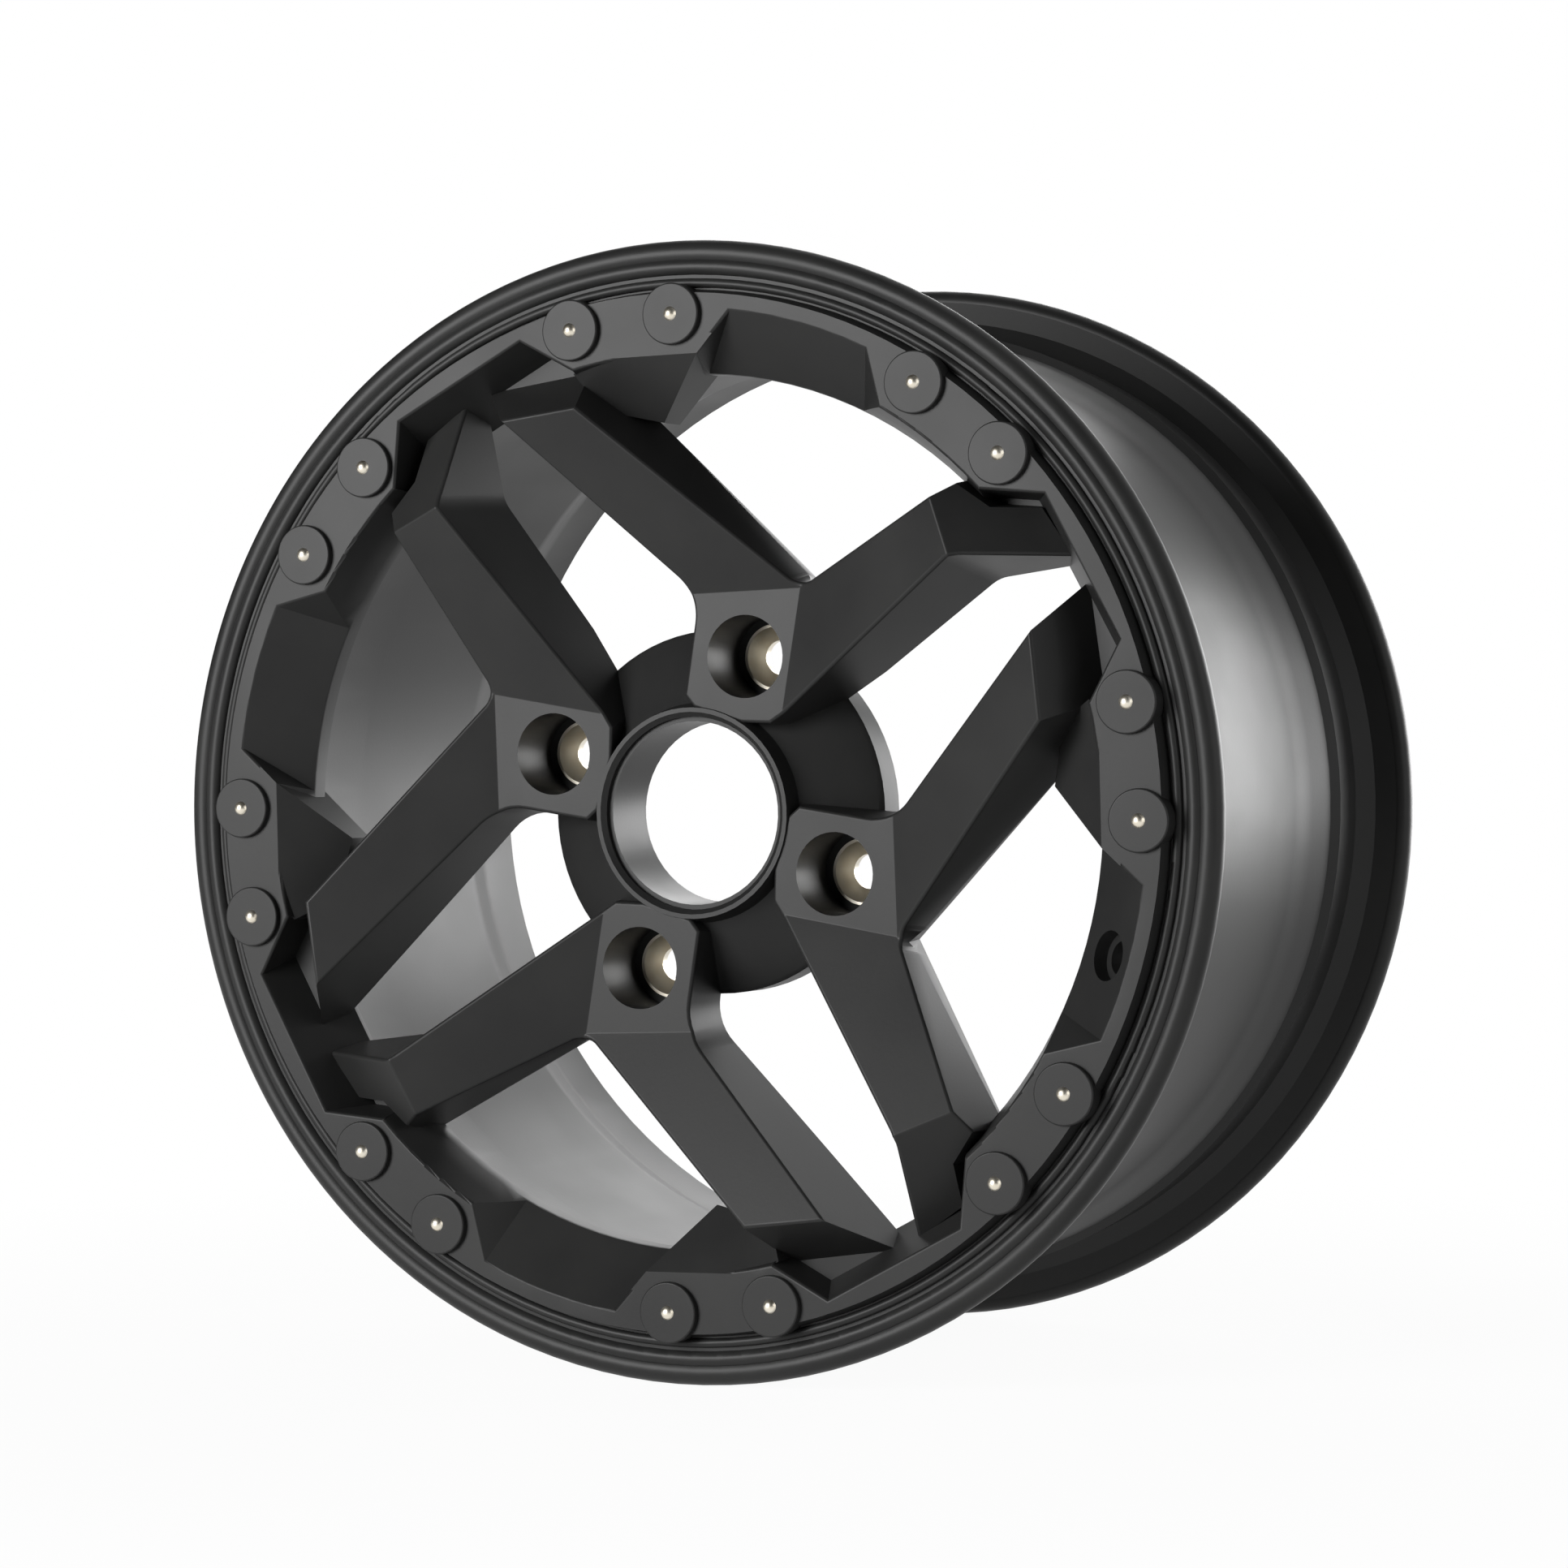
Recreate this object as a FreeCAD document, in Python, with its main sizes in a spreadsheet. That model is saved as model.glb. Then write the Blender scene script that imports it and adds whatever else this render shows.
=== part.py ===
import FreeCAD, Part
import math
import os
import Sketcher

# One-piece cast car wheel: a drop-centre rim, a face ring with eight pads, four forked arms
# and a hub with four lug pads are one casting. Four conical steel lug seats are pressed into
# it, and sixteen small domed rivets sit in the raised face discs.
#
# The wheel is drawn face up about Z: x to the right and y up on the face, heights above the
# hub mounting face. Every finished piece is then stood upright, so that the face looks to -Y.

doc = FreeCAD.newDocument("wheel")
sheet = doc.addObject("Spreadsheet::Sheet", "Sizes")

SIZES = {
    # rim: flanges, bead seats and barrel
    "flange_radius": 195.0,
    "flange_round": 4.5,
    "lip_height": 40.0,
    "rim_span": 204.0,
    "flange_depth": 18.0,
    "flange_curve": 6.0,
    "seat_width": 19.0,
    "hump_rise": 1.4,
    "hump_width": 6.0,
    "barrel_drop": 7.0,
    "barrel_ramp": 9.0,
    "rear_ramp": 24.0,
    "barrel_wall": 5.0,
    "barrel_step": 1.5,
    "barrel_step_height": -23.5,
    # lip beads and face ring
    "lip_face_height": 43.0,
    "outer_bead_inset": 9.2,
    "outer_bead_round": 3.0,
    "inner_bead_inset": 14.8,
    "inner_bead_round": 1.6,
    "bead_rise": 1.9,
    "lip_width": 18.4,
    "ring_height": 49.1,
    "ring_step_slope": 1.4,
    "ring_edge_round": 1.2,
    "ring_width": 20.6,
    "land_reach": 6.0,
    "land_top_height": 32.0,
    "land_back_height": 25.7,
    # scalloped facets over the wide windows
    "scallop_margin": 5.0,
    "scallop_drop": 16.0,
    "scallop_run": 20.9,
    "scallop_angle": 8.7,
    "scallop_flare": 13.5,
    "scallop_right_lean": 37.0,
    # pockets over the narrow windows
    "pocket_margin": 6.4,
    "pocket_angle": 9.0,
    "pocket_flare": 14.8,
    "pocket_lean": 25.0,
    "pocket_floor": 20.0,
    # hub
    "bore_radius": 31.5,
    "bore_step": 1.6,
    "bore_chamfer": 5.5,
    "hub_rim_radius": 36.2,
    "hub_height": 34.1,
    "hub_neck_height": 27.0,
    "hub_foot_radius": 63.0,
    "hub_foot_height": 12.0,
    # lug pads, holes and seats
    "lug_circle": 114.3,
    "lug_lead": 4.4,
    "pad_height": 33.2,
    "pad_lean": 5.0,
    "lug_mouth_radius": 14.2,
    "lug_boss_wall": 4.0,
    "seat_radius": 11.6,
    "seat_height": 8.4,
    "seat_cone_radius": 10.6,
    "seat_hole_radius": 6.0,
    "seat_cone_depth": 5.2,
    # forked arms: heights, slopes and the draft of their walls
    "arm_back": 12.7,
    "arm_back_start": 80.0,
    "arm_back_slope": 8.5,
    "arm_slope": 22.0,
    "steep_draft": 6.0,
    "easy_draft": 11.0,
    "relief_height": 22.0,
    "relief_lean": 8.0,
    "knee_round": 14.0,
    "crotch_round": 8.0,
    "root_round": 18.0,
    "arm_edge_round": 1.2,
    "tip_bevel": 30.0,
    "tip_floor": 34.0,
    "knee_foot_height": 37.0,
    "groove_floor": 30.0,
    "groove_edge_height": 40.0,
    # face discs and rivets
    "disc_inset": 7.3,
    "disc_radius": 10.5,
    "disc_rise": 2.2,
    "disc_edge_round": 0.6,
    "disc_half_pair": 6.55,
    "rivet_shank_radius": 1.8,
    "rivet_head_radius": 2.4,
    "rivet_head_rise": 1.5,
    "rivet_length": 8.0,
    # valve hole
    "valve_hole_radius": 5.65,
    "valve_mouth_radius": 8.4,
    "valve_mouth_depth": 5.0,
    "valve_run": 9.7,
    # turn of the pattern about the axle, clockwise as the face is seen
    "clocking": 16.5,
}

# Corners of one fork on the face: where the creases, wall feet, tips and knees lie.
POINTS = {
    "crease_left": (-19.0, 72.7),
    "crotch": (17.9, 85.0),
    "crease_right": (23.2, 41.9),
    "pad_left_foot": (-15.8, 39.3),
    "left_arm_root_upper": (19.6, 88.6),
    "left_arm_end_upper": (-64.9, 132.0),
    "left_arm_root_lower": (-20.0, 70.8),
    "left_arm_end_lower": (-97.1, 107.5),
    "left_tip_upper": (-68.6, 123.8),
    "left_tip_lower": (-95.0, 111.7),
    "right_arm_root_upper": (16.5, 86.6),
    "right_arm_end_upper": (60.9, 131.4),
    "right_arm_root_lower": (26.3, 39.4),
    "right_arm_knee_lower": (83.3, 105.1),
    "right_arm_foot_lower": (113.7, 117.5),
    "knee_upper": (63.8, 128.3),
    "knee_lower": (78.4, 110.6),
    "knee_foot": (112.7, 121.3),
    "gusset_toe": (-46.8, 125.6),
    "gusset_heel": (-79.0, 133.6),
    "groove_start": (66.0, 136.5),
    "groove_bend": (82.1, 130.4),
    "groove_corner": (96.4, 133.4),
    "groove_end": (112.2, 121.2),
    "groove_exit": (123.0, 113.0),
}
for point_name, (along, up) in POINTS.items():
    SIZES[point_name + "_x"] = along
    SIZES[point_name + "_y"] = up

for row, (alias, value) in enumerate(SIZES.items(), start=1):
    sheet.set(f"A{row}", alias)
    sheet.set(f"B{row}", str(value))
    sheet.setAlias(f"B{row}", alias)
doc.recompute()

AXLE = FreeCAD.Vector(0, 0, 1)
FORKS = 4
QUARTER = 360.0 / FORKS
TOOL_SPAN = 600.0
CLOSE = 0.01


def size(alias):
    return float(sheet.get(alias))


def point(name):
    return FreeCAD.Vector(size(name + "_x"), size(name + "_y"), 0)


def polar(radius, degrees, height=0.0):
    # a point of the face at an angle clockwise from the fork's upward axis
    turn = math.radians(degrees)
    return FreeCAD.Vector(radius * math.sin(turn), radius * math.cos(turn), height)


def at_height(place, height):
    return FreeCAD.Vector(place.x, place.y, height)


# Document objects used by every piece


def revolved(name, corners):
    # a body turned about the axle from a closed outline of (radius, height) expressions
    body = doc.addObject("PartDesign::Body", name)
    plane = [item for item in body.Origin.OriginFeatures if item.Role == "XZ_Plane"][0]
    sketch = body.newObject("Sketcher::SketchObject", name + "_outline")
    sketch.AttachmentSupport = [(plane, "")]
    sketch.MapMode = "FlatFace"
    values = [[float(sheet.evalExpression(text)) for text in corner] for corner in corners]
    count = len(corners)
    for index in range(count):
        start = FreeCAD.Vector(*values[index], 0)
        end = FreeCAD.Vector(*values[(index + 1) % count], 0)
        sketch.addGeometry(Part.LineSegment(start, end))
    for index in range(count):
        sketch.addConstraint(Sketcher.Constraint("Coincident", index, 2, (index + 1) % count, 1))
    for index, corner in enumerate(corners):
        for kind, text, value in zip(("DistanceX", "DistanceY"), corner, values[index]):
            datum = sketch.addConstraint(Sketcher.Constraint(kind, -1, 1, index, 1, value))
            sketch.setExpression(f"Constraints[{datum}]", text)
    turned = body.newObject("PartDesign::Revolution", name + "_turned")
    turned.Profile = sketch
    turned.ReferenceAxis = (sketch, ["V_Axis"])
    turned.Angle = 360.0
    return body


def drafted_prism(name, walls, reference, low, high):
    # a prism whose every wall has a draft of its own: walls are (corner, degrees) and lean
    # inwards going up from the outline at the reference height
    corners = [FreeCAD.Vector(corner.x, corner.y, 0) for corner, degrees in walls]
    count = len(corners)
    doubled = sum(corners[i].x * corners[(i + 1) % count].y - corners[(i + 1) % count].x * corners[i].y
                  for i in range(count))
    inward_side = 1.0 if doubled > 0 else -1.0

    def outline(height):
        lines = []
        for index, (corner, degrees) in enumerate(walls):
            along = (corners[(index + 1) % count] - corners[index]).normalize()
            inward = FreeCAD.Vector(-along.y, along.x, 0) * inward_side
            shift = (height - reference) * math.tan(math.radians(degrees))
            lines.append((corners[index] + inward * shift, along))
        places = []
        for index in range(count):
            before, before_along = lines[index - 1]
            here, here_along = lines[index]
            gap = here - before
            cross = before_along.x * here_along.y - before_along.y * here_along.x
            reach = (gap.x * here_along.y - gap.y * here_along.x) / cross
            places.append(at_height(before + before_along * reach, height))
        return places

    bottom = outline(low)
    top = outline(high)
    faces = [Part.Face(Part.makePolygon(ring + ring[:1])) for ring in (bottom, top)]
    for index in range(count):
        after = (index + 1) % count
        quad = [bottom[index], bottom[after], top[after], top[index], bottom[index]]
        faces.append(Part.Face(Part.makePolygon(quad)))
    solid = Part.Solid(Part.Shell(faces))
    if solid.Volume < 0:
        solid.reverse()
    prism = doc.addObject("Part::Feature", name)
    prism.Shape = solid
    return prism


def beyond_plane(name, first, second, third, towards):
    # a large block with one face on the plane through three points, on the side of towards
    normal = (second - first).cross(third - first).normalize()
    if normal.dot(towards) < 0:
        normal = normal * -1
    block = doc.addObject("Part::Box", name)
    for side in ("Length", "Width", "Height"):
        setattr(block, side, TOOL_SPAN)
    turn = FreeCAD.Rotation(AXLE, normal)
    corner = turn.multVec(FreeCAD.Vector(-TOOL_SPAN / 2, -TOOL_SPAN / 2, 0))
    block.Placement = FreeCAD.Placement(first + corner, turn)
    return block


def cut(name, base, tool):
    feature = doc.addObject("Part::Cut", name)
    feature.Base = base
    feature.Tool = tool
    feature.Refine = True
    return feature


def fused(name, pieces):
    feature = doc.addObject("Part::MultiFuse", name)
    feature.Shapes = pieces
    feature.Refine = True
    return feature


def common(name, pieces):
    feature = doc.addObject("Part::MultiCommon", name)
    feature.Shapes = pieces
    return feature


def cylinder(name, radius_text, height_text, place):
    bar = doc.addObject("Part::Cylinder", name)
    bar.setExpression("Radius", radius_text)
    bar.setExpression("Height", height_text)
    bar.Placement = place
    return bar


def torus(name, radius_text, round_text, height_text):
    ring = doc.addObject("Part::Torus", name)
    ring.setExpression("Radius1", radius_text)
    ring.setExpression("Radius2", round_text)
    ring.setExpression("Placement.Base.z", height_text)
    return ring


def turned_copy(name, source, degrees):
    copy = doc.addObject("App::Link", name)
    copy.LinkedObject = source
    copy.LinkTransform = True
    copy.Placement = FreeCAD.Placement(FreeCAD.Vector(), FreeCAD.Rotation(AXLE, degrees))
    return copy


def round_the_wheel(source):
    # the four turns of something that is drawn once, for the fork that points up
    turns = [source]
    for index in range(1, FORKS):
        turns.append(turned_copy(f"{source.Name}_{index}", source, -QUARTER * index))
    return turns


def edges_where(feature, test):
    # the numbers of the edges that pass a test of their middle and their ends
    doc.recompute()
    numbers = []
    for number, edge in enumerate(feature.Shape.Edges, start=1):
        middle = edge.valueAt((edge.FirstParameter + edge.LastParameter) / 2)
        ends = [vertex.Point for vertex in edge.Vertexes]
        if test(middle, ends):
            numbers.append(number)
    return numbers


def rounded(name, base, edges, radius):
    feature = doc.addObject("Part::Fillet", name)
    feature.Base = base
    feature.Edges = [(number, radius, radius) for number in edges]
    return feature


# Rim: two rounded flanges, bead seats with humps, a slightly sunken barrel, and the face ring

S = "Sizes."
flange_line = f"({S}flange_radius - {S}flange_round)"
seat_line = f"({S}flange_radius - {S}flange_depth)"
barrel_line = f"({seat_line} - {S}barrel_drop)"
inside_line = f"({barrel_line} - {S}barrel_wall)"
ring_outer = f"({S}flange_radius - {S}lip_width)"
ring_inner = f"({ring_outer} - {S}ring_width)"
land_line = f"({ring_inner} - {S}land_reach)"
front_back = f"({S}lip_height - {S}flange_round)"
rear_height = f"({S}lip_height - {S}rim_span)"
rear_front = f"({rear_height} + {S}flange_round)"
front_seat = f"({front_back} - {S}flange_curve)"
rear_seat = f"({rear_front} + {S}flange_curve)"
front_hump = f"({front_seat} - {S}seat_width)"
rear_hump = f"({rear_seat} + {S}seat_width)"
hump_line = f"({seat_line} + {S}hump_rise)"

rim_body = revolved("rim_body", [
    (land_line, f"{S}land_back_height"),
    (land_line, f"{S}land_top_height"),
    (ring_inner, f"{S}ring_height"),
    (ring_outer, f"{S}ring_height"),
    (f"{ring_outer} + {S}ring_step_slope", f"{S}lip_face_height"),
    (flange_line, f"{S}lip_face_height"),
    (flange_line, front_back),
    (f"{seat_line} + {S}flange_curve", f"{front_back} - {S}hump_rise"),
    (seat_line, front_seat),
    (seat_line, front_hump),
    (hump_line, f"{front_hump} - {S}hump_width / 2"),
    (seat_line, f"{front_hump} - {S}hump_width"),
    (barrel_line, f"{front_hump} - {S}hump_width - {S}barrel_ramp"),
    (barrel_line, f"{rear_hump} + {S}hump_width + {S}rear_ramp"),
    (f"{seat_line} - {S}hump_rise", f"{rear_hump} + {S}hump_width"),
    (hump_line, f"{rear_hump} + {S}hump_width / 2"),
    (seat_line, rear_hump),
    (seat_line, rear_seat),
    (f"{seat_line} + {S}flange_curve", f"{rear_front} + {S}hump_rise"),
    (flange_line, rear_front),
    (flange_line, f"{rear_height} - {S}flange_round"),
    (f"{seat_line} + {S}flange_curve", f"{rear_height} - {S}flange_round + {S}hump_rise"),
    (f"{seat_line} - {S}barrel_wall", rear_seat),
    (f"{seat_line} - {S}barrel_wall", f"{rear_hump} + {S}hump_width / 2"),
    (inside_line, f"{rear_hump} + {S}hump_width + {S}rear_ramp"),
    (inside_line, f"{S}barrel_step_height"),
    (f"{inside_line} - {S}barrel_step", f"{S}barrel_step_height"),
    (f"{inside_line} - {S}barrel_step", f"{S}land_back_height - {S}flange_depth"),
    (f"{inside_line} - {S}barrel_step - {S}barrel_wall", f"{S}land_back_height - {S}barrel_wall"),
])


bead_top = f"{S}lip_face_height + {S}bead_rise"
rim_rounds = [
    torus("front_flange_round", flange_line, f"{S}flange_round", f"{S}lip_height"),
    torus("rear_flange_round", flange_line, f"{S}flange_round", rear_height),
    torus("outer_bead", f"{S}flange_radius - {S}outer_bead_inset", f"{S}outer_bead_round",
          f"{bead_top} - {S}outer_bead_round"),
    torus("inner_bead", f"{S}flange_radius - {S}inner_bead_inset", f"{S}inner_bead_round",
          f"{bead_top} - {S}inner_bead_round"),
]

# Scallops: a sloped facet in the ring over each wide window, with one steep and one slanted side

ring_outer_radius = size("flange_radius") - size("lip_width")
ring_inner_radius = ring_outer_radius - size("ring_width")
ring_height = size("ring_height")
scallop_top_radius = ring_outer_radius - size("scallop_margin")
scallop_grade = size("scallop_run") / size("scallop_drop")
SCALLOP_RISE = 12.0
SCALLOP_FALL = 30.0

scallop_cone = doc.addObject("Part::Cone", "scallop_cone")
scallop_cone.Radius1 = scallop_top_radius - SCALLOP_FALL * scallop_grade
scallop_cone.Radius2 = scallop_top_radius + SCALLOP_RISE * scallop_grade
scallop_cone.Height = SCALLOP_FALL + SCALLOP_RISE
scallop_cone.Placement.Base.z = ring_height - SCALLOP_FALL

scallop_left = polar(scallop_top_radius, -size("scallop_angle"))
scallop_right = polar(scallop_top_radius, size("scallop_angle"))
scallop_right_foot = polar(ring_inner_radius, size("scallop_flare"))
gusset_toe = point("gusset_toe")
left_line = (scallop_left - gusset_toe).normalize()
right_line = (scallop_right - scallop_right_foot).normalize()
scallop_sides = drafted_prism("scallop_sides", [
    (scallop_left + left_line * SCALLOP_RISE, 0),
    (scallop_right + right_line * SCALLOP_RISE, -size("scallop_right_lean")),
    (scallop_right_foot - right_line * SCALLOP_FALL, 0),
    (gusset_toe, -size("steep_draft")),
], ring_height, ring_height - SCALLOP_FALL, ring_height + SCALLOP_RISE)
scallop = common("scallop", [scallop_cone, scallop_sides])

# Pockets: a chord cut in the ring over each narrow window, with a sloping outer wall

pocket_radius = (ring_outer_radius - size("pocket_margin")) / math.cos(math.radians(size("pocket_angle")))
pocket = drafted_prism("pocket", [
    (polar(ring_inner_radius, QUARTER / 2 - size("pocket_flare")), -size("steep_draft")),
    (polar(pocket_radius, QUARTER / 2 - size("pocket_angle")), -size("pocket_lean")),
    (polar(pocket_radius, QUARTER / 2 + size("pocket_angle")), -size("steep_draft")),
    (polar(ring_inner_radius, QUARTER / 2 + size("pocket_flare")), 0),
    (polar(ring_inner_radius / 2, QUARTER / 2), 0),
], ring_height, size("pocket_floor"), ring_height + SCALLOP_RISE)

rim_round = fused("rim_round", [rim_body] + rim_rounds)
rim_cuts = fused("rim_cuts", round_the_wheel(scallop) + round_the_wheel(pocket))
rim_sharp = cut("rim_sharp", rim_round, rim_cuts)


def on_ring_edge(middle, ends):
    within = math.hypot(middle.x, middle.y) < ring_outer_radius - CLOSE
    return within and all(abs(place.z - ring_height) < CLOSE for place in ends + [middle])


rim = rounded("rim", rim_sharp, edges_where(rim_sharp, on_ring_edge), size("ring_edge_round"))

# Gusset: the sloped web between the left pad of each fork and the side of its left arm

gusset_heel = point("gusset_heel")
gusset_block = drafted_prism("gusset_block", [
    (scallop_left - left_line * size("ring_width") / 2, 0),
    (gusset_toe, 0),
    (point("left_tip_upper"), 0),
    (gusset_heel, 0),
    (polar(ring_outer_radius - size("disc_inset"), -QUARTER / 4), 0),
], ring_height, size("relief_height"), ring_height)
gusset_top = beyond_plane("gusset_top",
                          at_height(polar(ring_inner_radius, -size("scallop_flare")), ring_height),
                          at_height(gusset_heel, ring_height - size("hump_width") / 2),
                          at_height(gusset_toe, size("tip_floor")), AXLE)
gusset = cut("gusset", gusset_block, gusset_top)

# Forks: each is one drafted piece, a lug pad with two arms whose sloping tops climb to the ring

reach_radius = (size("flange_radius") - size("flange_depth") - size("barrel_drop")
                - size("barrel_wall") / 2)
arm_back = size("arm_back")
arm_top = ring_height + size("pad_height")
pad_height = size("pad_height")
rise = math.tan(math.radians(size("arm_slope")))


def out_to_rim(start, through):
    # where the line of a wall runs into the barrel
    along = (through - start).normalize()
    middle = -start.dot(along)
    offset = (start + along * middle).Length
    return start + along * (middle + math.sqrt(reach_radius ** 2 - offset ** 2))


def meeting(first, first_through, second, second_through):
    # where the lines of two walls cross
    along = first_through - first
    other = second_through - second
    gap = second - first
    reach = (gap.x * other.y - gap.y * other.x) / (along.x * other.y - along.y * other.x)
    return first + along * reach


def uphill_from(first, second, uphill):
    # the level direction square to a crease, on the side of the rim
    crease = (second - first).normalize()
    climb = FreeCAD.Vector(-crease.y, crease.x, 0)
    return climb if climb.dot(uphill - first) > 0 else climb * -1


def height_on(first, second, uphill, place):
    # the height of an arm's sloping top over a place of the face
    return pad_height + rise * uphill_from(first, second, uphill).dot(place - first)


def sloping_top(name, first, second, uphill):
    # the space above an arm: a plane that starts at its crease and climbs towards the rim
    climb = uphill_from(first, second, uphill)
    return beyond_plane(name, at_height(first, pad_height), at_height(second, pad_height),
                        at_height(first + climb, pad_height + rise), AXLE)


def back_relief(name, first, second, inside):
    # the space behind an arm's wall over a wide window, where the wall turns back inwards
    inward = uphill_from(first, second, inside)
    draft = math.tan(math.radians(size("easy_draft")))
    lifted = size("relief_height") - arm_back
    start = at_height(first + inward * (lifted * draft), size("relief_height"))
    back = math.tan(math.radians(size("relief_lean")))
    return beyond_plane(name, start, start + (second - first), start + inward * back - AXLE, AXLE * -1)


crease_left = point("crease_left")
crotch = point("crotch")
crease_right = point("crease_right")
left_tip_upper = point("left_tip_upper")
left_tip_lower = point("left_tip_lower")
knee_upper = point("knee_upper")
knee_lower = point("knee_lower")

left_upper = point("left_arm_root_upper")
left_upper_end = out_to_rim(left_upper, point("left_arm_end_upper"))
left_lower = point("left_arm_root_lower")
left_lower_end = out_to_rim(left_lower, point("left_arm_end_lower"))
right_upper = point("right_arm_root_upper")
right_upper_end = out_to_rim(right_upper, point("right_arm_end_upper"))
right_lower = point("right_arm_root_lower")
right_knee = point("right_arm_knee_lower")
right_lower_end = out_to_rim(right_knee, point("right_arm_foot_lower"))
crotch_foot = meeting(left_upper, left_upper_end, right_upper, right_upper_end)

fork_block = drafted_prism("fork_block", [
    (left_upper_end, size("easy_draft")),
    (crotch_foot, size("steep_draft")),
    (right_upper_end, 0),
    ((right_upper_end + right_lower_end).normalize() * reach_radius, 0),
    (right_lower_end, size("easy_draft")),
    (right_knee, size("easy_draft")),
    (right_lower, 0),
    (polar(size("hub_rim_radius"), QUARTER / 6), 0),
    (polar(size("hub_rim_radius"), -QUARTER / 6), 0),
    (point("pad_left_foot"), size("pad_lean")),
    (left_lower, size("steep_draft")),
    (left_lower_end, 0),
    ((left_upper_end + left_lower_end).normalize() * reach_radius, 0),
], arm_back, arm_back, arm_top)


def corner_edge(feature, foot):
    # the upright edge of a fork that stands nearest to a corner of its outline
    half = (arm_top - arm_back) / 2

    def offset(number):
        ends = [vertex.Point for vertex in feature.Shape.Edges[number - 1].Vertexes]
        return (at_height(min(ends, key=lambda end: end.z), 0) - foot).Length

    upright = edges_where(feature, lambda middle, ends: abs(ends[0].z - ends[-1].z) > half)
    return [min(upright, key=offset)]


crotch_rounded = rounded("crotch_rounded", fork_block, corner_edge(fork_block, crotch_foot),
                         size("crotch_round"))
root_rounded = rounded("root_rounded", crotch_rounded, corner_edge(crotch_rounded, left_lower),
                       size("root_round"))
knee_rounded = rounded("knee_rounded", root_rounded, corner_edge(root_rounded, right_knee),
                       size("knee_round"))

pad_above = beyond_plane("pad_above", at_height(crease_left, pad_height), at_height(crotch, pad_height),
                         at_height(crease_right, pad_height), AXLE)
above = common("above_fork", [
    pad_above,
    sloping_top("left_above", crease_left, crotch, left_tip_upper),
    sloping_top("right_above", crotch, crease_right, knee_lower),
])
fork_sloped = cut("fork_sloped", knee_rounded, above)
behind = common("behind_fork", [
    back_relief("left_behind", left_upper, left_upper_end, left_lower),
    back_relief("right_behind", right_upper, right_upper_end, right_knee),
])
fork_relieved = cut("fork_relieved", fork_sloped, behind)

tip_height = height_on(crease_left, crotch, left_tip_upper, left_tip_upper)
tip_run = (tip_height - size("tip_floor")) * math.tan(math.radians(size("tip_bevel")))
tip_along = (left_tip_lower - left_tip_upper).normalize()
tip_out = uphill_from(left_tip_upper, left_tip_lower, left_tip_upper * 2)
TIP_SPREAD = 60.0
tip_first = left_tip_upper + tip_out * tip_run - tip_along * TIP_SPREAD
tip_second = left_tip_lower + tip_out * tip_run + tip_along * TIP_SPREAD
left_tip = drafted_prism("left_tip", [
    (tip_first, -size("tip_bevel")),
    (tip_second, 0),
    (tip_second + tip_out * TIP_SPREAD, 0),
    (tip_first + tip_out * TIP_SPREAD, 0),
], size("tip_floor"), size("tip_floor"), arm_top)
fork_tipped = cut("fork_tipped", fork_relieved, left_tip)
knee_plane = [
    at_height(knee_upper, height_on(crotch, crease_right, knee_lower, knee_upper)),
    at_height(knee_lower, height_on(crotch, crease_right, knee_lower, knee_lower)),
    at_height(point("knee_foot"), size("knee_foot_height")),
]
fork_kneed = cut("fork_kneed", fork_tipped, beyond_plane("right_beyond", *knee_plane, AXLE))

# the back of the arms climbs from the hub towards the ring, so they grow thinner outwards
back_spread = 1.0 / math.tan(math.radians(size("arm_back_slope")))
back_cone = doc.addObject("Part::Cone", "back_cone")
back_cone.Radius1 = size("arm_back_start") - arm_back / 2 * back_spread
back_cone.Radius2 = size("arm_back_start") + (arm_top - arm_back) * back_spread
back_cone.Height = arm_top - arm_back / 2
back_cone.Placement.Base.z = arm_back / 2
fork_sharp = common("fork_sharp", [fork_kneed, back_cone])


def lies_on(tool, place):
    # whether a place is on the face of a large block made by beyond_plane
    normal = tool.Placement.Rotation.multVec(AXLE)
    return abs(normal.dot(place - tool.Placement.Base)) < CLOSE


def on_fork_top(middle, ends):
    # the edges of the sloping faces, out to where the fork runs into the ring
    if not size("hub_foot_radius") / 2 < math.hypot(middle.x, middle.y) < ring_inner_radius:
        return False
    tops = ("pad_above", "left_above", "right_above", "right_beyond")
    return any(all(lies_on(doc.getObject(name), place) for place in ends + [middle]) for name in tops)


fork_rounded = rounded("fork_rounded", fork_sharp, edges_where(fork_sharp, on_fork_top),
                       size("arm_edge_round"))

# Groove: the right arm's foot stops short of the ring, so a narrow channel runs round its end

groove_start = point("groove_start")
groove_exit = point("groove_exit")
groove_reach = reach_radius + size("flange_depth")
groove = drafted_prism("groove", [
    (groove_start, -size("steep_draft")),
    (point("groove_bend"), -size("steep_draft")),
    (point("groove_corner"), -size("steep_draft")),
    (point("groove_end"), -size("steep_draft")),
    (groove_exit, 0),
    (FreeCAD.Vector(groove_exit).normalize() * groove_reach, 0),
    (FreeCAD.Vector(groove_start).normalize() * groove_reach, 0),
], size("groove_edge_height"), size("groove_floor"), arm_top)
fork = cut("fork", fork_rounded, groove)

lug_middle = polar(size("lug_circle") / 2, size("lug_lead"))
lug_boss = cylinder("lug_boss", f"{S}lug_mouth_radius + {S}lug_boss_wall", f"{S}pad_height / 2",
                    FreeCAD.Placement(lug_middle, FreeCAD.Rotation()))

# Hub: the mounting face, a sloping neck and the raised, stepped rim round the centre bore

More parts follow.
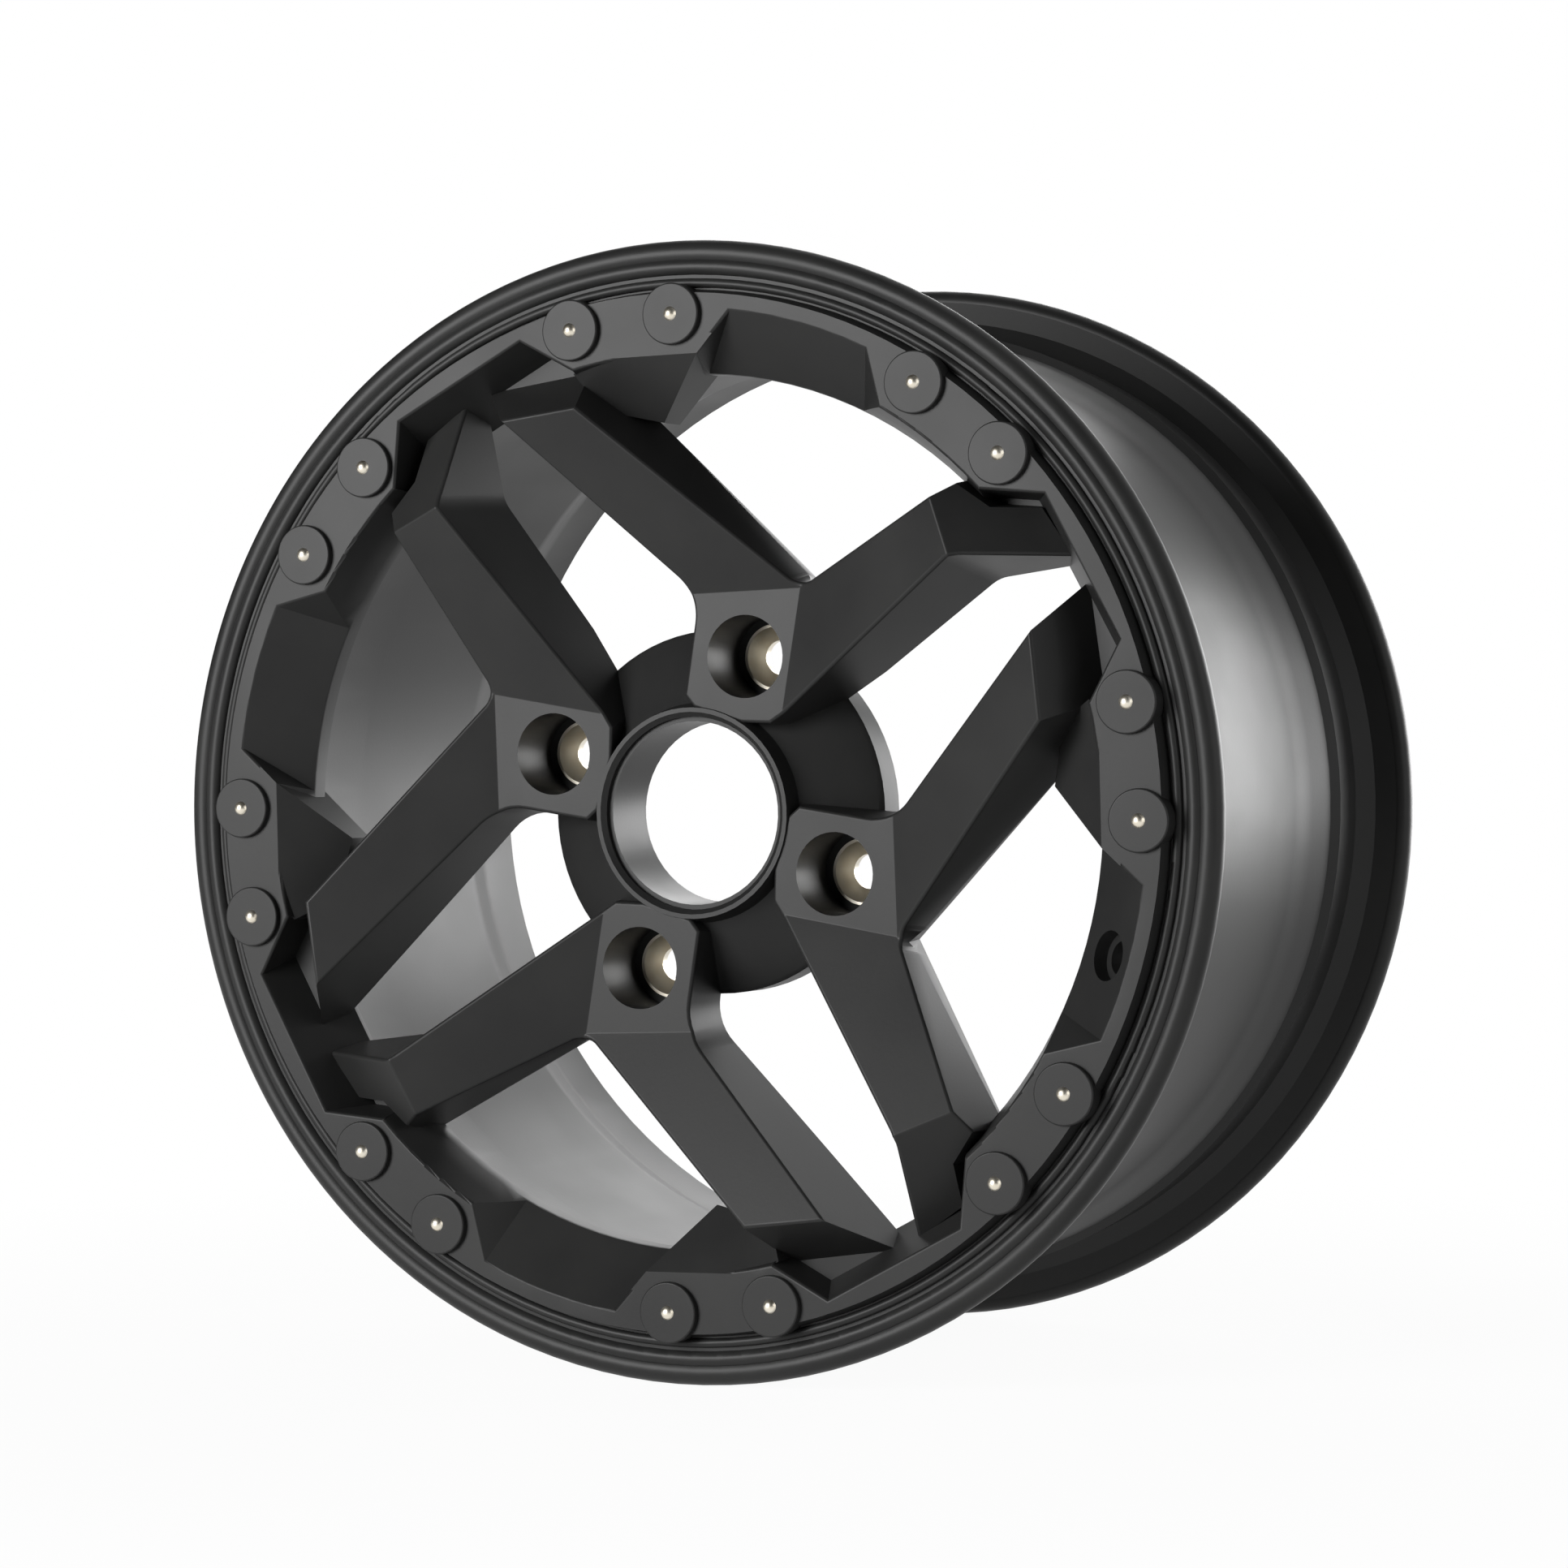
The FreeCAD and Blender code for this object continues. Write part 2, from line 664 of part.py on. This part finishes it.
hub_body = revolved("hub_body", [
    (f"{S}bore_radius + {S}bore_chamfer", "0"),
    (f"{S}bore_radius", f"{S}bore_chamfer"),
    (f"{S}bore_radius", f"{S}hub_height - 2 * {S}bore_step"),
    (f"{S}bore_radius + {S}bore_step", f"{S}hub_height - 2 * {S}bore_step"),
    (f"{S}bore_radius + {S}bore_step", f"{S}hub_height - {S}bore_step"),
    (f"{S}bore_radius + 2 * {S}bore_step", f"{S}hub_height"),
    (f"{S}hub_rim_radius", f"{S}hub_height"),
    (f"{S}hub_rim_radius + {S}bore_step", f"{S}hub_neck_height"),
    (f"{S}hub_foot_radius - {S}bore_step", f"{S}hub_foot_height + {S}bore_step"),
    (f"{S}hub_foot_radius", f"{S}hub_foot_height"),
    (f"{S}hub_foot_radius", "0"),
])


# Face discs: sixteen raised bosses in pairs on the ring pads, each drilled for its rivet

disc_radius_out = ring_outer_radius - size("disc_inset")
disc_angles = []
for pad in range(2 * FORKS):
    for side in (-1, 1):
        disc_angles.append(QUARTER / 4 + pad * QUARTER / 2 + side * size("disc_half_pair"))


disc_top = ring_height + size("disc_rise")
disc_sharp = cylinder("disc_sharp", f"{S}disc_radius",
                      f"{S}ring_height + {S}disc_rise - {S}lip_face_height",
                      FreeCAD.Placement(polar(disc_radius_out, 0, size("lip_face_height")),
                                        FreeCAD.Rotation()))
disc_edge = edges_where(disc_sharp, lambda middle, ends: min(middle.z, ends[0].z) > disc_top - CLOSE)
disc = rounded("disc", disc_sharp, disc_edge, size("disc_edge_round"))
rivet_hole = cylinder("rivet_hole", f"{S}rivet_shank_radius", f"2 * {S}rivet_length",
                      FreeCAD.Placement(polar(disc_radius_out, 0, disc_top - size("rivet_length")),
                                        FreeCAD.Rotation()))
discs = []
rivet_holes = []
for number, degrees in enumerate(disc_angles, start=1):
    discs.append(turned_copy(f"disc_{number}", disc, -degrees))
    rivet_holes.append(turned_copy(f"rivet_hole_{number}", rivet_hole, -degrees))

# Holes: the stepped lug holes and the valve hole, square to its sloped facet

lug_holes = []
for index in range(FORKS):
    middle = polar(size("lug_circle") / 2, size("lug_lead") + index * QUARTER)
    stand = FreeCAD.Placement(at_height(middle, size("seat_height")), FreeCAD.Rotation())
    lug_holes.append(cylinder(f"lug_mouth_{index + 1}", f"{S}lug_mouth_radius",
                              f"2 * {S}pad_height", stand))
    deep = FreeCAD.Placement(at_height(middle, -size("seat_height")), FreeCAD.Rotation())
    lug_holes.append(cylinder(f"lug_socket_{index + 1}", f"{S}seat_radius",
                              f"2 * {S}pad_height", deep))

VALVE_FORK = 1
VALVE_REACH = 80.0
slope_length = math.hypot(size("scallop_run"), size("scallop_drop"))
valve_drop = size("valve_run") / scallop_grade
valve_turn = FreeCAD.Rotation(AXLE, -VALVE_FORK * QUARTER)
valve_seat = valve_turn.multVec(polar(scallop_top_radius - size("valve_run"), 0, ring_height - valve_drop))
outward = valve_turn.multVec(FreeCAD.Vector(0, size("scallop_drop"), -size("scallop_run"))) / slope_length
valve_axis = FreeCAD.Rotation(AXLE, outward)
valve_hole = cylinder("valve_hole", f"{S}valve_hole_radius", str(VALVE_REACH),
                      FreeCAD.Placement(valve_seat - outward * (VALVE_REACH / 2), valve_axis))
valve_mouth_start = valve_seat + outward * (size("valve_mouth_depth") - VALVE_REACH / 2)
valve_mouth = cylinder("valve_mouth", f"{S}valve_mouth_radius", str(VALVE_REACH / 2),
                       FreeCAD.Placement(valve_mouth_start, valve_axis))

# Casting: everything that was poured in one piece, with its holes

spokes = []
for source in (fork, lug_boss, gusset):
    spokes += round_the_wheel(source)
solid_wheel = fused("solid_wheel", [rim, hub_body] + spokes + discs)
holes = fused("holes", lug_holes + rivet_holes + [valve_hole, valve_mouth])
wheel_casting = cut("wheel_casting", solid_wheel, holes)

# Lug seats: steel cones pressed into the sockets, flush with the mounting face

STAND = FreeCAD.Rotation(FreeCAD.Vector(1, 0, 0), 90).multiply(FreeCAD.Rotation(AXLE, -size("clocking")))
wheel_casting.Placement = FreeCAD.Placement(FreeCAD.Vector(), STAND)

pieces = [wheel_casting]
for index in range(FORKS):
    seat = revolved(f"lug_seat_{index + 1}", [
        (f"{S}seat_hole_radius", "0"),
        (f"{S}seat_hole_radius", f"{S}seat_height - {S}seat_cone_depth"),
        (f"{S}seat_cone_radius", f"{S}seat_height"),
        (f"{S}seat_radius", f"{S}seat_height"),
        (f"{S}seat_radius", "0"),
    ])
    middle = polar(size("lug_circle") / 2, size("lug_lead") + index * QUARTER)
    seat.Placement = FreeCAD.Placement(STAND.multVec(middle), STAND)
    pieces.append(seat)

# Rivets: domed steel pins, alike, one in each disc

dome_radius = f"(({S}rivet_head_radius ^ 2 + {S}rivet_head_rise ^ 2) / (2 * {S}rivet_head_rise))"
rivet_shank = cylinder("rivet_shank", f"{S}rivet_shank_radius", f"{S}rivet_length", FreeCAD.Placement())
rivet_ball = doc.addObject("Part::Sphere", "rivet_ball")
rivet_ball.setExpression("Radius", dome_radius)
rivet_ball.setExpression("Placement.Base.z",
                         f"{S}rivet_length + {S}rivet_head_rise - {dome_radius}")
rivet_cap = cylinder("rivet_cap", f"{S}rivet_head_radius", f"{S}rivet_length", FreeCAD.Placement())
rivet_cap.setExpression("Placement.Base.z", f"{S}rivet_length")
rivet_dome = common("rivet_dome", [rivet_ball, rivet_cap])
rivet = fused("rivet", [rivet_shank, rivet_dome])

rivet_copies = []
for number, degrees in enumerate(disc_angles, start=1):
    copy = turned_copy(f"rivet_{number}", rivet, 0)
    copy.Placement = FreeCAD.Placement(
        polar(disc_radius_out, degrees, disc_top - size("rivet_length")), FreeCAD.Rotation())
    rivet_copies.append(copy)
face_rivets = doc.addObject("Part::Compound", "face_rivets")
face_rivets.Links = rivet_copies
face_rivets.Placement = FreeCAD.Placement(FreeCAD.Vector(), STAND)
pieces.append(face_rivets)

# Check every object, then write each finished piece

doc.recompute()
for item in doc.Objects:
    if "Invalid" in item.State or "Error" in item.State:
        raise RuntimeError(f"{item.Name} failed: {item.State}")
for piece in pieces:
    piece.Label = piece.Name
    if piece.Shape.isNull() or not piece.Shape.isValid():
        raise RuntimeError(f"{piece.Name} has no valid shape")
os.makedirs("parts", exist_ok=True)
for piece in pieces:
    piece.Shape.exportStep(f"parts/{piece.Label}.step")
    box = piece.Shape.BoundBox
    print(piece.Label, len(piece.Shape.Solids), "solids", round(piece.Shape.Volume), "mm3",
          [round(v, 1) for v in (box.XMin, box.YMin, box.ZMin, box.XMax, box.YMax, box.ZMax)])
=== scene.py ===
import math

import bmesh
import bpy
from mathutils import Matrix, Vector


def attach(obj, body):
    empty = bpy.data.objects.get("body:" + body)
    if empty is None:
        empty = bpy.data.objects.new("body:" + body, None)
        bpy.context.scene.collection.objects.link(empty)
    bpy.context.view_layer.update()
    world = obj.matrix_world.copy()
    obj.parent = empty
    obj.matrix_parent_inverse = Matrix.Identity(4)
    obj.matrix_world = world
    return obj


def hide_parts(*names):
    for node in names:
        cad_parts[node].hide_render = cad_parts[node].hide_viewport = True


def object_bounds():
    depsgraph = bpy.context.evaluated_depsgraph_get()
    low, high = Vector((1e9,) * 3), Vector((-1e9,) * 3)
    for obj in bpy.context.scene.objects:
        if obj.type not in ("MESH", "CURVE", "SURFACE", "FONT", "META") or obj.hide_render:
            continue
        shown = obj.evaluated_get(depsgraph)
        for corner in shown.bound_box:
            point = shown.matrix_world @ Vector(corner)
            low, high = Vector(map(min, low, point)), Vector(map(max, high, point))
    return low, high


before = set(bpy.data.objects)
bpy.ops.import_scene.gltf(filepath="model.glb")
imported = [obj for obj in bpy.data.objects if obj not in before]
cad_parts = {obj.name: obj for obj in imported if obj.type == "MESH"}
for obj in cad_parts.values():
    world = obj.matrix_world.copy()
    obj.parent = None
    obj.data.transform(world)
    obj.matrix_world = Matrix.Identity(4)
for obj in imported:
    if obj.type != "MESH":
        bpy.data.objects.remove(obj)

cad_box = [list(corner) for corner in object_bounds()]

# Wheel casting: rim, face ring, forked arms and hub were poured in one piece of aluminium,
# shot blasted, and coated with satin black powder. The coat flows into a fine orange peel
# and is a little greyer and duller where it lies thin.
COAT_BLACK = (0.016, 0.016, 0.016, 1.0)
COAT_GREY = (0.022, 0.022, 0.0215, 1.0)
COAT_ROUGHNESS = (0.39, 0.45)
COAT_SPECULAR = 0.2
CLOUD_SIZE = 0.045
CLOUD_DETAIL = 4.0
PEEL_SIZE = 0.0011
PEEL_DETAIL = 2.0
PEEL_DEPTH = 0.00004
PEEL_STRENGTH = 0.35
# most of a noise pattern lies between these two values
NOISE_LOW, NOISE_HIGH = 0.3, 0.7
CREASE_ANGLE = math.radians(24.0)
WELD = 2e-6
# rounds turned into the flanges and the lip: radius of the ring, its place on the axle, radius
TURNED_ROUNDS = ((0.1905, -0.0400, 0.0045), (0.1905, 0.1640, 0.0045),
                 (0.1858, -0.0419, 0.0030), (0.1802, -0.0433, 0.0016))
ON_ROUND = 3e-5


def from_round(point, ring):
    # how far a point lies from the middle line of a turned round, and which way
    ring_radius, along, _ = ring
    reach = math.hypot(point.x, point.z)
    out = point * ((reach - ring_radius) / reach)
    return Vector((out.x, point.y - along, out.z))


def turned_round(face):
    # the turned round that all corners of a face lie on, if there is one
    for ring in TURNED_ROUNDS:
        if all(abs(from_round(vertex.co, ring).length - ring[2]) < ON_ROUND
               for vertex in face.verts):
            return ring
    return None


def smooth_copy(node, name, finish):
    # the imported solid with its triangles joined, so that round faces shade as round while
    # wide flat faces stay flat up to their rounded edges
    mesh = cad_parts[node].data.copy()
    mesh.name = name
    work = bmesh.new()
    work.from_mesh(mesh)
    bmesh.ops.remove_doubles(work, verts=work.verts, dist=WELD)
    work.faces.index_update()
    work.to_mesh(mesh)
    limit = math.cos(CREASE_ANGLE)
    facing = [face.normal.copy() for face in work.faces]
    weighted = [face.normal * face.calc_area() for face in work.faces]
    normals = []
    for face in work.faces:
        ring = turned_round(face)
        for vertex in face.verts:
            if ring:
                normals.append(from_round(vertex.co, ring).normalized())
                continue
            total = Vector()
            for other in vertex.link_faces:
                if facing[other.index].dot(face.normal) > limit:
                    total += weighted[other.index]
            normals.append(total.normalized())
    work.free()
    mesh.shade_smooth()
    mesh.normals_split_custom_set(normals)
    piece = bpy.data.objects.new(name, mesh)
    bpy.context.scene.collection.objects.link(piece)
    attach(piece, "root")
    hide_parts(node)
    mesh.materials.clear()
    mesh.materials.append(finish)
    return piece


def new_material(name):
    material = bpy.data.materials.new(name)
    material.use_nodes = True
    tree = material.node_tree
    return material, tree, tree.nodes["Principled BSDF"]


def own_place(tree):
    # where a point lies on the piece itself
    return tree.nodes.new("ShaderNodeTexCoord").outputs["Object"]


def noise(tree, place, grain, detail):
    # a noise pattern whose blotches are about one grain across
    pattern = tree.nodes.new("ShaderNodeTexNoise")
    pattern.inputs["Scale"].default_value = 1.0 / grain
    pattern.inputs["Detail"].default_value = detail
    tree.links.new(place, pattern.inputs["Vector"])
    return pattern.outputs["Fac"]


def spread(tree, value, low, high):
    # a noise value stretched over a chosen range
    stretch = tree.nodes.new("ShaderNodeMapRange")
    stretch.inputs["From Min"].default_value = NOISE_LOW
    stretch.inputs["From Max"].default_value = NOISE_HIGH
    stretch.inputs["To Min"].default_value = low
    stretch.inputs["To Max"].default_value = high
    tree.links.new(value, stretch.inputs["Value"])
    return stretch.outputs["Result"]


def between(tree, value, first, second):
    # a colour between two others, chosen by a noise value
    ramp = tree.nodes.new("ShaderNodeValToRGB")
    ramp.color_ramp.elements[0].color = first
    ramp.color_ramp.elements[0].position = NOISE_LOW
    ramp.color_ramp.elements[1].color = second
    ramp.color_ramp.elements[1].position = NOISE_HIGH
    tree.links.new(value, ramp.inputs["Fac"])
    return ramp.outputs["Color"]


def raise_grain(tree, shader, height, depth, strength):
    # a fine unevenness of the surface, as deep as given
    bump = tree.nodes.new("ShaderNodeBump")
    bump.inputs["Distance"].default_value = depth
    bump.inputs["Strength"].default_value = strength
    tree.links.new(height, bump.inputs["Height"])
    tree.links.new(bump.outputs["Normal"], shader.inputs["Normal"])


coat, tree, shader = new_material("satin_black_coat")
place = own_place(tree)
clouds = noise(tree, place, CLOUD_SIZE, CLOUD_DETAIL)
peel = noise(tree, place, PEEL_SIZE, PEEL_DETAIL)
tree.links.new(between(tree, clouds, COAT_BLACK, COAT_GREY), shader.inputs["Base Color"])
tree.links.new(spread(tree, clouds, *COAT_ROUGHNESS), shader.inputs["Roughness"])
shader.inputs["Specular IOR Level"].default_value = COAT_SPECULAR
raise_grain(tree, shader, peel, PEEL_DEPTH, PEEL_STRENGTH)

casting = smooth_copy("wheel_casting", "coated_casting", coat)

# Lug seats: conical steel inserts, turned on a lathe and plated, pressed into the lug holes.
# The plating has a warm champagne tint, faint paler stains and a fine grain.
PLATE_WARM = (0.80, 0.73, 0.60, 1.0)
PLATE_PALE = (0.84, 0.80, 0.70, 1.0)
PLATE_ROUGHNESS = (0.34, 0.42)
STAIN_SIZE = 0.004
STAIN_DETAIL = 3.0
GRAIN_SIZE = 0.0009
GRAIN_DETAIL = 2.0
GRAIN_DEPTH = 0.00001
GRAIN_STRENGTH = 0.15
LUG_SEATS = ("lug_seat_1", "lug_seat_2", "lug_seat_3", "lug_seat_4")

plate, tree, shader = new_material("plated_steel")
place = own_place(tree)
stain = noise(tree, place, STAIN_SIZE, STAIN_DETAIL)
grain = noise(tree, place, GRAIN_SIZE, GRAIN_DETAIL)
tree.links.new(between(tree, stain, PLATE_WARM, PLATE_PALE), shader.inputs["Base Color"])
tree.links.new(spread(tree, stain, *PLATE_ROUGHNESS), shader.inputs["Roughness"])
shader.inputs["Metallic"].default_value = 1.0
raise_grain(tree, shader, grain, GRAIN_DEPTH, GRAIN_STRENGTH)

for node in LUG_SEATS:
    seat = smooth_copy(node, "plated_" + node, plate)

# Face rivets: small domed steel pins, plated as the lug seats are. One is knocked into the
# middle of each raised disc of the face ring.
rivets = smooth_copy("face_rivets", "domed_rivets", plate)

# Floor: a plain white sheet that the wheel stands on, with only a faint shadow under it.
# It looks white to the camera and to bright metal, as a lit studio sweep does.
FLOOR_SPAN = 8.0
FLOOR_WHITE = (0.9, 0.9, 0.9, 1.0)
WHITE_STRENGTH = 1.0
SHADOW_SHARE = 0.05
SHADOW_REACH = 0.7


def seen_directly(tree):
    # 1 for what the camera sees itself, in bright metal or through glass
    path = tree.nodes.new("ShaderNodeLightPath")
    total = path.outputs["Is Camera Ray"]
    for ray in ("Is Glossy Ray", "Is Transmission Ray"):
        larger = tree.nodes.new("ShaderNodeMath")
        larger.operation = "MAXIMUM"
        tree.links.new(total, larger.inputs[0])
        tree.links.new(path.outputs[ray], larger.inputs[1])
        total = larger.outputs["Value"]
    return total


def make_matte(shader, colour):
    # a surface without any gloss
    shader.inputs["Base Color"].default_value = colour
    shader.inputs["Roughness"].default_value = 1.0
    shader.inputs["Specular IOR Level"].default_value = 0.0


floor_mesh = bpy.data.meshes.new("floor")
work = bmesh.new()
bmesh.ops.create_grid(work, x_segments=1, y_segments=1, size=FLOOR_SPAN / 2)
bmesh.ops.translate(work, verts=work.verts, vec=(0.0, 0.0, cad_box[0][2]))
work.to_mesh(floor_mesh)
work.free()
floor = bpy.data.objects.new("floor", floor_mesh)
bpy.context.scene.collection.objects.link(floor)

sheet, tree, shader = new_material("white_sheet")
make_matte(shader, FLOOR_WHITE)
glow = tree.nodes.new("ShaderNodeEmission")
glow.inputs["Strength"].default_value = WHITE_STRENGTH
away = tree.nodes.new("ShaderNodeVectorMath")
away.operation = "LENGTH"
tree.links.new(own_place(tree), away.inputs[0])
fade = tree.nodes.new("ShaderNodeMapRange")
fade.inputs["From Min"].default_value = SHADOW_REACH / 2
fade.inputs["From Max"].default_value = SHADOW_REACH
fade.inputs["To Min"].default_value = 1.0 - SHADOW_SHARE
fade.inputs["To Max"].default_value = 1.0
tree.links.new(away.outputs["Value"], fade.inputs["Value"])
share = tree.nodes.new("ShaderNodeMath")
share.operation = "MULTIPLY"
tree.links.new(seen_directly(tree), share.inputs[0])
tree.links.new(fade.outputs["Result"], share.inputs[1])
blend = tree.nodes.new("ShaderNodeMixShader")
tree.links.new(share.outputs["Value"], blend.inputs["Fac"])
tree.links.new(shader.outputs["BSDF"], blend.inputs[1])
tree.links.new(glow.outputs["Emission"], blend.inputs[2])
tree.links.new(blend.outputs["Shader"], tree.nodes["Material Output"].inputs["Surface"])
floor_mesh.materials.append(sheet)

# Studio surround: white walls all round, which look white to the camera and in bright metal,
# while only a soft even fill from them falls on the wheel.
FILL_LEVEL = 0.12
SURROUND_WHITE = (1.0, 1.0, 1.0, 1.0)

world = bpy.data.worlds.new("white_studio")
bpy.context.scene.world = world
world.use_nodes = True
tree = world.node_tree
surround = tree.nodes["Background"]
level = tree.nodes.new("ShaderNodeMapRange")
level.inputs["To Min"].default_value = FILL_LEVEL
level.inputs["To Max"].default_value = WHITE_STRENGTH
tree.links.new(seen_directly(tree), level.inputs["Value"])
tree.links.new(level.outputs["Result"], surround.inputs["Strength"])
surround.inputs["Color"].default_value = SURROUND_WHITE

# Black cloth: hung round the sides and the front and over the top, out of the picture, so that
# only the lamps and the white behind the wheel show in its coat.
CLOTH_RADIUS = 2.8
CLOTH_HEIGHT = 2.4
CLOTH_GAP = math.radians(68.0)
CLOTH_BLACK = (0.01, 0.01, 0.01, 1.0)
CLOTH_FOLDS = 64
REAR = Vector((0.42, 0.906))
FACES_DOWN = -0.5

cloth_mesh = bpy.data.meshes.new("black_cloth")
work = bmesh.new()
bmesh.ops.create_cone(work, cap_ends=True, cap_tris=True, segments=CLOTH_FOLDS,
                      radius1=CLOTH_RADIUS, radius2=CLOTH_RADIUS, depth=CLOTH_HEIGHT)
bmesh.ops.translate(work, verts=work.verts, vec=(0.0, 0.0, cad_box[0][2] + CLOTH_HEIGHT / 2))
left_open = [face for face in work.faces
             if face.calc_center_median().xy.angle(REAR) < CLOTH_GAP
             or face.normal.z < FACES_DOWN]
bmesh.ops.delete(work, geom=left_open, context="FACES")
work.to_mesh(cloth_mesh)
work.free()
cloth = bpy.data.objects.new("black_cloth", cloth_mesh)
cloth.visible_camera = False
bpy.context.scene.collection.objects.link(cloth)

weave, tree, shader = new_material("black_cloth")
make_matte(shader, CLOTH_BLACK)
cloth_mesh.materials.append(weave)

# Soft boxes: lamps behind white cloth, on stands. One in front on the left shows in the pads of
# the face, a weaker one stands on the right, and two behind graze the barrel outside and inside.
WHEEL_MIDDLE = Vector((0.0, 0.03, 0.0))
# name, place, width, height and watts
SOFT_BOXES = (("front_box", (-0.80, -1.65, 0.36), 0.9, 0.9, 42.0),
              ("right_box", (1.9, -0.5, 0.45), 1.0, 1.2, 7.0),
              ("rear_box", (0.95, 1.7, 0.22), 1.4, 0.8, 28.0),
              ("inner_box", (-0.35, 1.6, 0.75), 0.8, 0.8, 8.0))

for name, stand, width, height, watts in SOFT_BOXES:
    lamp = bpy.data.lights.new(name, "AREA")
    lamp.shape = "RECTANGLE"
    lamp.size = width
    lamp.size_y = height
    lamp.energy = watts
    box = bpy.data.objects.new(name, lamp)
    box.location = stand
    box.rotation_euler = (WHEEL_MIDDLE - Vector(stand)).to_track_quat("-Z", "Y").to_euler()
    bpy.context.scene.collection.objects.link(box)

# Camera: a long lens in front, to the right of the axle and level with it, as the photograph
# was taken.
LENS = 103.67
SENSOR = 36.0
CAMERA_PLACE = Vector((0.6813, -1.4208, 0.0289))
CAMERA_RIGHT = Vector((0.90648, 0.42221, -0.00576))
CAMERA_UP = Vector((0.0, 0.01364, 0.99991))
CAMERA_BACK = Vector((0.42225, -0.90640, 0.01236))

view = bpy.data.cameras.new("photo_view")
view.lens = LENS
view.sensor_width = SENSOR
camera = bpy.data.objects.new("photo_view", view)
camera.matrix_world = (Matrix.Translation(CAMERA_PLACE)
                       @ Matrix((CAMERA_RIGHT, CAMERA_UP, CAMERA_BACK)).transposed().to_4x4())
bpy.context.scene.collection.objects.link(camera)
bpy.context.scene.camera = camera
bpy.context.scene.view_settings.view_transform = "Standard"
